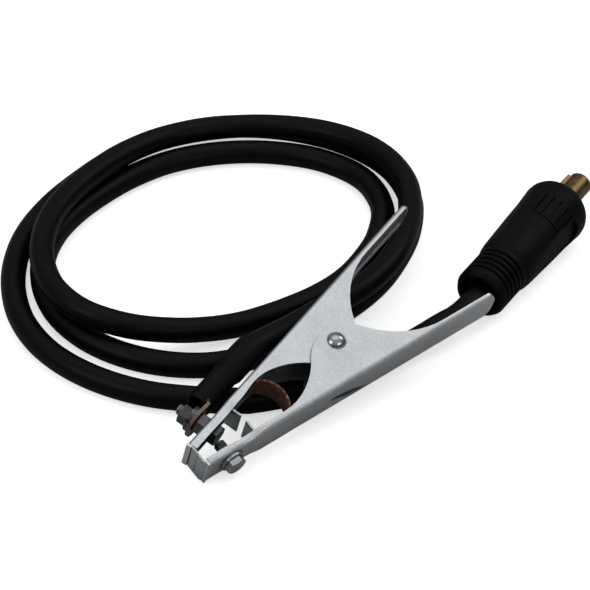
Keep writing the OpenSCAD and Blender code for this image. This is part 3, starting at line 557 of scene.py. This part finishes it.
# the bend inside the sleeve, straight for its first 2 mm
def tailPoint(s):
    bend = math.radians(cable["tailBend"])
    a, r = bend * s / cable["sleeveTail"], cable["sleeveTail"] / bend
    along = r * math.sin(a) + cable["straight"] - clamp["barrelEnd"]
    return cableArmFrame @ Vector((along, clamp["barrelAxis"], r * (math.cos(a) - 1)))


def plugPoint(s):
    return plugFrame @ Vector((s, 0, 0))


def cablePath():
    d, last = cable["diameter"], len(cable["reach"]) - 2
    turns = [turnsPoint(k / 3) for k in range(3 * last + 1)]
    wayIn = (turns[1] - turns[0]).normalized()
    wayOut = (turnsPoint(last + 1 / 3) - turnsPoint(last - 1 / 3)).normalized()
    turnsIn, turnsOut = turns[0] - d * wayIn, turns[-1] + d * wayOut
    start = cableArmFrame @ Vector((-clamp["barrelEnd"], clamp["barrelAxis"], 0))
    knots = [start] + [tailPoint(cable["sleeveTail"] * k / 4) for k in range(5)]
    knots += [Vector(p) for p in cable["clampRoute"]] + [turnsIn - d / 2 * wayIn, turnsIn]
    knots += turns + [turnsOut, turnsOut + d / 2 * wayOut]
    knots += [Vector(p) for p in cable["plugRoute"]] + [plugPoint(-d), plugPoint(plug["cavity"])]
    fine = [through(knots, k / 8) for k in range(8 * (len(knots) - 1) + 1)]
    return evenly(fine, cable["step"])


def makeCable(finish):
    points = cablePath()
    curve = bpy.data.curves.new("weldingCable", "CURVE")
    curve.dimensions = "3D"
    curve.bevel_depth = cable["diameter"] / 2 * mm
    curve.bevel_resolution = cable["resolution"]
    curve.use_fill_caps = True
    spline = curve.splines.new("POLY")
    spline.points.add(len(points) - 1)
    for point, place in zip(spline.points, points):
        point.co = (*(place * mm), 1)
    spline.use_smooth = True
    curve.materials.append(finish)
    piece = bpy.data.objects.new("weldingCable", curve)
    bpy.context.scene.collection.objects.link(piece)
    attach(piece, "cable_half")
    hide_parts("cable_clamp_end", "cable_coil", "cable_plug_end")
    return piece, arcLengths(points)[-1]


# rings of a straight bar, one unit apart, that are then set along the points
def sweptBar(bm, points, halfWidth, halfHeight, sides, up):
    ring = bmesh.ops.create_circle(bm, segments=sides, radius=1)["verts"]
    for v in ring:
        v.co = (0, v.co.x, v.co.y)
    edges = list({e for v in ring for e in v.link_edges})
    bmesh.ops.spin(bm, geom=ring + edges, cent=(0, 0, 0), axis=(1, 0, 0),
                   dvec=(1, 0, 0), angle=0, steps=len(points) - 1, use_duplicate=False)
    for v in bm.verts:
        i = round(v.co.x)
        way = (points[min(i + 1, len(points) - 1)] - points[max(i - 1, 0)]).normalized()
        side = up(i).cross(way).normalized()
        over = way.cross(side)
        v.co = points[i] + side * (v.co.y * halfWidth) + over * (v.co.z * halfHeight)
    fillHoles(bm)
    bmesh.ops.recalc_face_normals(bm, faces=bm.faces)


# a piece set across a place in the clamp, its place baked into its mesh
def blendAcross(piece):
    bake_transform(piece)


spring = {"wire": 2.5, "diameter": 16, "turns": 4, "legReach": 42.5, "lean": 17, "gap": 0.35,
          "legGap": 0.3, "bend": 4, "sides": 12, "step": 1.0, "coilStep": 12, "blend": 9}


# a leg, a rounded corner, the coil, and the first leg again turned over
def springPath():
    lean, half = math.radians(spring["lean"]), spring["diameter"] / 2
    line = clamp["webInner"] + spring["wire"] / 2 + spring["legGap"]
    a = math.radians(-90) - lean
    s = (half * math.sin(a) - line) / math.sin(lean)
    corner = Vector((half * math.cos(a) + s * math.cos(lean), line, 0))
    tip, foot = Vector((spring["legReach"], line, 0)), Vector((0, -half, 0))
    before = corner + spring["bend"] * (tip - corner).normalized()
    after = corner + spring["bend"] * (foot - corner).normalized()
    leg = [tip] + [before.lerp(corner, t / 6).lerp(corner.lerp(after, t / 6), t / 6) for t in range(7)]
    start = math.radians(90) + lean + spread
    sweep = math.radians(360 * (spring["turns"] + 1)) - 2 * start
    rise = sweep / (2 * math.pi) * (spring["wire"] + spring["gap"])
    low, turn = Vector((0, 0, -rise / 2)), Matrix.Rotation(-spread, 4, "Z")
    first = [turn @ p for p in leg]
    steps = round(sweep / math.radians(spring["coilStep"]))
    coil = []
    for k in range(steps + 1):
        a = start + sweep * k / steps
        coil.append(Vector((half * math.cos(a), half * math.sin(a), rise * (k / steps - 0.5))))
    return [Vector((p.x, -p.y, 0)) + low for p in first] + coil + [p - low for p in reversed(first)]


def makeSpring(finish):
    bm = bmesh.new()
    points = evenly(springPath(), spring["step"])
    half = spring["wire"] / 2
    sweptBar(bm, points, half, half, spring["sides"], lambda i: Vector((0, 0, 1)))
    toWorld(bm, clampFrame)
    piece = newPiece("torsionSpring", bm, finish, smooth=50)
    blendAcross(piece)
    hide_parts("torsion_spring")


# a flattened tube of bundles that wind both ways and cross over and under
braid = {"turnReach": 47, "bow": 11, "bowAngle": 81, "bowStep": 6, "footEnd": 83, "jawFootEnd": 84,
         "lift": 0.62, "width": 13, "margin": 0.58, "bundles": 17, "lead": 62, "phase": 0.003,
         "coreRadius": 0.3, "out": 0.03, "wave": 0.16, "bundleWidth": 1.3, "bundleHeight": 0.4,
         "sides": 6, "step": 0.5, "wireMap": 0.8, "blend": 7}


def footPoint(side, reach):
    place = Vector((-reach, side * (clamp["webInner"] + braid["lift"]), 0))
    return Matrix.Rotation(-side * spread, 4, "Z") @ place


# along one arm, in a bow to the other, and along that
def braidLine():
    near, far = footPoint(-1, braid["turnReach"]), footPoint(1, braid["turnReach"])
    middle, half = (near + far) / 2, (near.y - far.y) / 2
    bow = []
    for degrees in range(braid["bowAngle"], -braid["bowAngle"] - 1, -braid["bowStep"]):
        a = math.radians(degrees)
        bow.append(middle + Vector((braid["bow"] * math.cos(a), half * math.sin(a), 0)))
    feet = footPoint(-1, braid["footEnd"]), footPoint(1, braid["jawFootEnd"])
    return evenly([feet[0], near] + bow + [far, feet[1]], braid["step"])


# a place on the flattened tube: how far round it, and how far out
def tubePlace(around, out):
    r, half = braid["coreRadius"], braid["width"] / 2 - braid["margin"]
    whole = 4 * half + 2 * math.pi * r
    p = around % 1 * whole
    if p < 2 * half:
        return Vector((0, r + out, half - p)), Vector((0, 1, 0))
    p -= 2 * half
    if p < math.pi * r:
        a = p / r
        way = Vector((0, math.cos(a), -math.sin(a)))
        return Vector((0, 0, -half)) + way * (r + out), way
    p -= math.pi * r
    if p < 2 * half:
        return Vector((0, -r - out, p - half)), Vector((0, -1, 0))
    a = (p - 2 * half) / r
    way = Vector((0, -math.cos(a), math.sin(a)))
    return Vector((0, 0, half)) + way * (r + out), way


def makeBraid(finish):
    line = braidLine()
    total = arcLengths(line)[-1]

    def onLine(s):
        i = min(max(int(s / total * (len(line) - 1)), 0), len(line) - 2)
        f = s / total * (len(line) - 1) - i
        way = (line[i + 1] - line[i]).normalized()
        return line[i].lerp(line[i + 1], f), Vector((-way.y, way.x, 0))

    whole = bmesh.new()
    whole.loops.layers.uv.new("wires")
    count, sides = round(total / braid["step"]), braid["sides"]
    for way in (1, -1):
        for k in range(braid["bundles"]):
            points, ups = [], []
            for i in range(count + 1):
                s = total * i / count
                turned = s / braid["lead"]
                wave = way * braid["wave"] * math.cos(2 * math.pi * braid["bundles"] * turned)
                around = k / braid["bundles"] + way * turned + braid["phase"]
                place, out = tubePlace(around, braid["out"] + wave)
                at, left = onLine(s)
                points.append(at + left * place.y + Vector((0, 0, place.z)))
                ups.append(left * out.y + Vector((0, 0, out.z)))
            bm = bmesh.new()
            sweptBar(bm, points, braid["bundleWidth"] / 2, braid["bundleHeight"] / 2, sides, lambda i: ups[i])
            uv = bm.loops.layers.uv.new("wires")
            for n, v in enumerate(bm.verts):
                across = math.cos(2 * math.pi / sides * (n % sides)) * braid["wireMap"] * mm
                for loop in v.link_loops:       # each bundle has wires of its own
                    loop[uv].uv = (n // sides * braid["step"] * mm, across + 0.003 * k)
            addMesh(whole, bm)
    toWorld(whole, clampFrame)
    piece = newPiece("braidedStrap", whole, finish, smooth=60)
    blendAcross(piece)
    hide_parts("copper_braid")


# what follows shapes the hard pieces further, each in its own frame in millimetres
sleeve = {"mouth": -59.5, "reach": 8, "flat": 0.92}


# the sleeve reaches past the barrel's end and opens there
def drawSleeve(bm):
    for v in bm.verts:
        if v.co.x < sleeve["mouth"]:
            v.co.x -= sleeve["reach"]
            v.co.z *= sleeve["flat"]


# half widths of the arms, and where one passes into the next along the arm from the rivet
jaw = {"plain": {"cable": 8.65, "free": 10}, "wide": {"cable": 9.3, "free": 10.4}, "waist": 7.9, "end": 8.65,
       "toWide": (-38, -48), "toWaist": (-59, -68.5), "toEnd": (-71, -81),
       "rimLift": {"cable": 2.2, "free": 1.0}, "lift": (-34, -58), "rimBottom": -19.3,
       "cutAt": -90.3, "rimEnd": -92.45, "webEnd": -92.8, "webTop": -19.9, "rimWide": 1.3,
       "tabBack": -92.72, "tabTip": -18.8, "tabHeight": 17.3, "cuts": range(-88, -34, 2),
       "wall": 1, "insideFrom": -20.5, "insideTo": -86, "insideFacing": 0.6}
handle = {"tipFrom": 84, "lip": 3.1, "rim": 2.8, "reach": 90.5, "half": 8, "growFrom": 60,
          "shorter": {"cable": -2.4, "free": 2.4}, "corner": {"cable": 3.5, "free": 7},
          "cornerCuts": range(0, 90, 11), "roundest": 0.995}


def eased(value, start, end):
    t = min(max((value - start) / (end - start), 0), 1)
    return t * t * (3 - 2 * t)


# an arm: rims that rise and close in at the jaw, a turned-in tab, an even rim round the handle's end
def pressArm(side):
    halfWidth, corner = jaw["plain"][side], handle["corner"][side]
    start = handle["reach"] - corner

    def halfAt(x):
        half = halfWidth + (jaw["wide"][side] - halfWidth) * eased(x, *jaw["toWide"])
        half += (jaw["waist"] - half) * eased(x, *jaw["toWaist"])
        return half + (jaw["end"] - half) * eased(x, *jaw["toEnd"])

    # the jaw's end is cut off and drawn out again, the rims less far than the web
    def drawJaw(bm):
        bmesh.ops.bisect_plane(bm, geom=allOf(bm), dist=0.0001, plane_co=(jaw["cutAt"], 0, 0),
                               plane_no=(-1, 0, 0), clear_outer=True)
        ends = [e for e in bm.edges if e.is_boundary]
        grown = bmesh.ops.extrude_edge_only(bm, edges=ends)["geom"]
        for v in (g for g in grown if isinstance(g, bmesh.types.BMVert)):
            isRim = v.co.y > jaw["webTop"] or abs(v.co.z) > halfWidth - jaw["rimWide"]
            v.co.x = jaw["rimEnd"] if isRim else jaw["webEnd"]
        fillHoles(bm)

    def moveVertex(v):
        x, y = v.co.x, v.co.y
        if y > jaw["rimBottom"] and x < jaw["lift"][0] and v.co.z > 0:
            v.co.y += jaw["rimLift"][side] * eased(x, *jaw["lift"])
        v.co.z *= halfAt(x) / halfWidth
        if x > handle["tipFrom"] and y > handle["rim"] - clamp["webOffset"] + near:
            high = (y + clamp["webOffset"] - handle["rim"]) / 2
            v.co.y = handle["rim"] + high * (handle["lip"] - handle["rim"]) - clamp["webOffset"]
        t = min(max((x - start) / corner, 0), handle["roundest"])
        v.co.z *= 1 - corner * (1 - math.sqrt(1 - t * t)) / handle["half"]
        v.co.x -= handle["shorter"][side] * eased(x, handle["growFrom"], handle["reach"])

    # painted shade: faces inside the channel that face a rim or the web get the darker finish
    def isDark(face):
        middle, normal = face.calc_center_median(), face.normal
        isInside = middle.y > jaw["insideFrom"] and abs(middle.z) < halfAt(middle.x) - jaw["wall"]
        isFlat = max(abs(normal.z), abs(normal.y)) > jaw["insideFacing"]
        return isInside and isFlat and middle.x > jaw["insideTo"]

    def press(bm):
        drawJaw(bm)
        corners = [start + corner * math.sin(math.radians(a)) for a in handle["cornerCuts"]]
        for cut in [*jaw["cuts"], *corners]:
            bmesh.ops.bisect_plane(bm, geom=allOf(bm), dist=0.01, plane_co=(cut, 0, 0), plane_no=(1, 0, 0))
        for v in bm.verts:
            moveVertex(v)
        for face in bm.faces:
            if isDark(face):
                face.material_index = 1
        tab = bmesh.ops.create_cube(bm, size=1)["verts"]
        size = (clamp["jawReach"] + jaw["tabBack"], jaw["tabTip"] + clamp["webOffset"], jaw["tabHeight"])
        bmesh.ops.scale(bm, vec=size, verts=tab)
        bmesh.ops.translate(bm, vec=((jaw["tabBack"] - clamp["jawReach"]) / 2,
                                     (jaw["tabTip"] - clamp["webOffset"]) / 2, 0), verts=tab)
    return press


# the front face leans by so many times the spread; sharp is in radians
plates = {"front": -93.85, "seat": -19, "rear": -64, "thick": 1, "width": 14.9, "frontWidth": 17,
          "frontFrom": -73, "bend": 0.9, "bendSegments": 5, "edge": 0.12, "sharp": 0.5,
          "gap": 0.1, "tooth": 9.1, "lean": {"cable": 2, "free": 0}}


# a bent strip: front face, foot under the bolt, rear tooth
def makePlate(side, node, place, body, finish):
    top = plates["front"] * math.tan(spread) - plates["gap"]
    lean = math.tan(plates["lean"][side] * spread)
    tooth = clamp["webInner"] + plates["tooth"]
    line = [(plates["front"], top), (plates["front"] + (top - plates["seat"]) * lean, plates["seat"]),
            (plates["rear"], plates["seat"]), (plates["rear"], tooth)]
    bm = bmesh.new()
    points = [bm.verts.new((x, y, -plates["width"] / 2)) for x, y in line]
    edges = [bm.edges.new(pair) for pair in zip(points, points[1:])]
    grown = bmesh.ops.extrude_edge_only(bm, edges=edges)["geom"]
    far = [g for g in grown if isinstance(g, bmesh.types.BMVert)]
    bmesh.ops.translate(bm, vec=(0, 0, plates["width"]), verts=far)
    for v in bm.verts:
        if v.co.x < plates["frontFrom"]:
            v.co.z *= plates["frontWidth"] / plates["width"]
    bmesh.ops.bevel(bm, geom=cornersOf(bm, plates["sharp"]), affect="EDGES", offset=plates["bend"],
                    offset_type="OFFSET", segments=plates["bendSegments"], profile=0.5, material=-1)
    bmesh.ops.recalc_face_normals(bm, faces=bm.faces)
    if sum(f.normal.y * f.calc_area() for f in bm.faces) < 0:
        bmesh.ops.reverse_faces(bm, faces=bm.faces)
    bmesh.ops.solidify(bm, geom=bm.faces, thickness=plates["thick"])
    bmesh.ops.recalc_face_normals(bm, faces=bm.faces)
    bmesh.ops.bevel(bm, geom=cornersOf(bm, plates["sharp"]), affect="EDGES", offset=plates["edge"],
                    offset_type="OFFSET", segments=2, profile=0.5, material=-1, clamp_overlap=True)
    toWorld(bm, place)
    bmesh.ops.recalc_face_normals(bm, faces=bm.faces)
    piece = newPiece(side + "JawPlate", bm, finish)
    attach(piece, body)
    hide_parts(node)


# the palm is thinner than the barrel's wall doubled, and the neck goes into the sleeve
lug = {"seat": -26.4, "outer": -28.9, "axis": -31.9, "thick": 1.5, "close": 0.3, "palmTo": -66,
       "neckFrom": -66.5, "neck": 0.65, "narrowFrom": -70, "narrow": 0.8}
washer = {"boreReach": 5, "wider": 1.12}


def thinPalm(bm):
    for v in bm.verts:
        if v.co.x < lug["palmTo"] and v.co.y < lug["outer"] + lug["close"]:
            v.co.y = lug["seat"] - lug["thick"]
        elif v.co.x > lug["neckFrom"]:
            v.co.y = lug["axis"] + (v.co.y - lug["axis"]) * lug["neck"]
            v.co.z *= lug["neck"]
        if v.co.x > lug["narrowFrom"]:
            v.co.z *= lug["narrow"]


# it reaches down to the thinner palm, and its rim is wider
def thickWasher(bm):
    for v in bm.verts:
        out = v.co.x + clamp["boltReach"]
        if v.co.y > lug["outer"] - lug["close"]:
            v.co.y = lug["seat"] - lug["thick"]
        if math.hypot(out, v.co.z) > washer["boreReach"]:
            v.co.x = out * washer["wider"] - clamp["boltReach"]
            v.co.z *= washer["wider"]


# reaches are from one height in the arm to another
thread = {"radius": 3, "depth": 0.42, "pitch": 1, "steps": 24, "crest": (0.4, 0.6),
          "coreFrom": 2.5, "core": 0.86, "insideFrom": -19.5,
          "terminalReach": (-22, -37.3), "jawReach": (-22, -11.7)}
jawBoltHead = {"foot": -23, "size": 0.92, "height": 0.85}


# a thread by itself, cut off level at both ends
def windThread(reach, low, high):
    r, d, p = thread["radius"], thread["depth"], thread["pitch"]
    turns = math.ceil((high - low) / p) + 2
    wound = bmesh.new()
    profile = [(r - d, 0), (r, p * thread["crest"][0]), (r, p * thread["crest"][1]), (r - d, p)]
    section = [wound.verts.new((-reach + x, low - p + y, 0)) for x, y in profile]
    edges = [wound.edges.new(pair) for pair in zip(section, section[1:])]
    bmesh.ops.spin(wound, geom=section + edges, cent=(-reach, 0, 0), axis=(0, 1, 0),
                   dvec=(0, p / thread["steps"], 0), angle=2 * math.pi * turns,
                   steps=thread["steps"] * turns, use_duplicate=False)
    bmesh.ops.remove_doubles(wound, verts=wound.verts, dist=0.01)
    for y, way in ((low, -1), (high, 1)):
        bmesh.ops.bisect_plane(wound, geom=allOf(wound), dist=0.0001, plane_co=(0, y, 0),
                               plane_no=(0, way, 0), clear_outer=True)
        cutEdges = [e for e in wound.edges if e.is_boundary and all(abs(v.co.y - y) < 0.001 for v in e.verts)]
        bmesh.ops.holes_fill(wound, edges=cutEdges, sides=0)
    bmesh.ops.recalc_face_normals(wound, faces=wound.faces)
    return wound


# the shank gets thinner and a thread goes round it, between two heights
def threadBolt(reach, heights, head=None):
    def wind(bm):
        for v in bm.verts:
            out = v.co.x + reach
            r = math.hypot(out, v.co.z)
            if head and v.co.y < head["foot"] + near:       # a smaller, flatter head
                v.co.x, v.co.z = out * head["size"] - reach, v.co.z * head["size"]
                v.co.y = head["foot"] + (v.co.y - head["foot"]) * head["height"]
            elif thread["coreFrom"] < r < thread["radius"] + near:
                v.co.x, v.co.z = out * thread["core"] - reach, v.co.z * thread["core"]
        addMesh(bm, windThread(reach, min(heights), max(heights)))
        for face in bm.faces:       # what is inside the jaw is darker: painted shade
            if face.calc_center_median().y > thread["insideFrom"]:
                face.material_index = 1
    return wind


# the body turns on its axis a little, with the pocket of its grub screw
def turnBody(bm):
    turn = Matrix.Rotation(math.radians(plug["bodyTurn"]), 3, "X")
    bmesh.ops.rotate(bm, cent=(0, 0, 0), matrix=turn, verts=bm.verts)


setCamera()
setLamps()
makeFloor()
print("camera, lamps and floor set")

edgeWearAndHighlight, spangle, crevice = makeEdgeWearAndHighlight(), makeSpangle(), makeCreviceShade()
drawLines, dust = makeDrawLines(), makeDust()
finishes = {name: makeMetal(name, edgeWearAndHighlight, spangle, crevice) for name in metals}
finishes.update({name: makeRubber(name, dust) for name in rubbers})
finishes["turnedBrass"] = makeBrass(edgeWearAndHighlight, spangle)
finishes["braidCopper"] = makeBraidCopper(drawLines)
print("finishes made:", len(finishes))

cord, cordLength = makeCable(finishes["cableRubber"])
print("cable", round(cordLength), "mm")

# node: piece, finish, slot, body, edge in millimetres
parts = {
    "cable_arm": ("cableArm", "zincSteel", "zinc", "cable_half", 0.22),
    "free_arm": ("freeArm", "zincSteel", "zinc", "free_half", 0.22),
    "pivot_rivet": ("pivotRivet", "brightSteel", "bright_steel", "cable_half", 0.1),
    "terminal_bolt": ("terminalBolt", "boltZinc", "bolt_steel", "cable_half", 0.12),
    "terminal_nut_inner": ("innerNut", "passivatedSteel", "bolt_steel", "cable_half", 0.12),
    "terminal_washer": ("terminalWasher", "passivatedSteel", "bright_steel", "cable_half", 0.12),
    "terminal_nut_outer": ("outerNut", "passivatedSteel", "bolt_steel", "cable_half", 0.12),
    "jaw_bolt": ("jawBolt", "boltZinc", "bolt_steel", "free_half", 0.12),
    "jaw_washer": ("jawWasher", "boltZinc", "bright_steel", "free_half", 0.12),
    "cable_lug": ("cableLug", "lugCopper", "tinned_copper", "cable_half", 0.15),
    "heat_shrink_sleeve": ("shrinkSleeve", "sleeveRubber", "sleeve", "cable_half", 0.3),
    "plug_body": ("plugBody", "plugRubber", "plug_rubber", "cable_half", 0.35),
    "plug_contact": ("plugContact", "turnedBrass", "brass", "cable_half", 0.15),
    "plug_grub_screw": ("grubScrew", "screwSteel", "bolt_steel", "cable_half", 0.1),
}
# node: what shapes it further, and the frame that this works in
shapes = {
    "cable_arm": (pressArm("cable"), cableArmFrame),
    "free_arm": (pressArm("free"), freeArmFrame),
    "heat_shrink_sleeve": (drawSleeve, cableArmFrame),
    "cable_lug": (thinPalm, cableArmFrame),
    "terminal_washer": (thickWasher, cableArmFrame),
    "terminal_bolt": (threadBolt(clamp["boltReach"], thread["terminalReach"]), cableArmFrame),
    "jaw_bolt": (threadBolt(clamp["jawBoltReach"], thread["jawReach"], jawBoltHead), freeArmFrame),
    "plug_body": (turnBody, plugFrame),
    "plug_grub_screw": (turnBody, plugFrame),
}
# node: a second, darker finish, painted shade on the faces inside the jaw
shadeFinishes = {"cable_arm": "zincPaintedShade", "free_arm": "zincPaintedShade",
           "terminal_bolt": "screwSteel", "jaw_bolt": "screwSteel"}
for node, (name, finish, slotName, body, edge) in parts.items():
    inside = finishes[shadeFinishes[node]] if node in shadeFinishes else None
    dressed(node, name, finishes[finish], body, edge, shapes.get(node), inside)
for node in ("lug_strands", "plug_strands", "plug_ferrule"):
    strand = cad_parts[node]
    strand.data.materials.clear()
    strand.data.materials.append(finishes["bareStrands"])

makePlate("cable", "cable_jaw_plate", cableArmFrame, "cable_half", finishes["contactSteel"])
makePlate("free", "free_jaw_plate", freeArmFrame, "free_half", finishes["contactSteel"])
makeSpring(finishes["springSteel"])
makeBraid(finishes["braidCopper"])
print("spring and braid made")
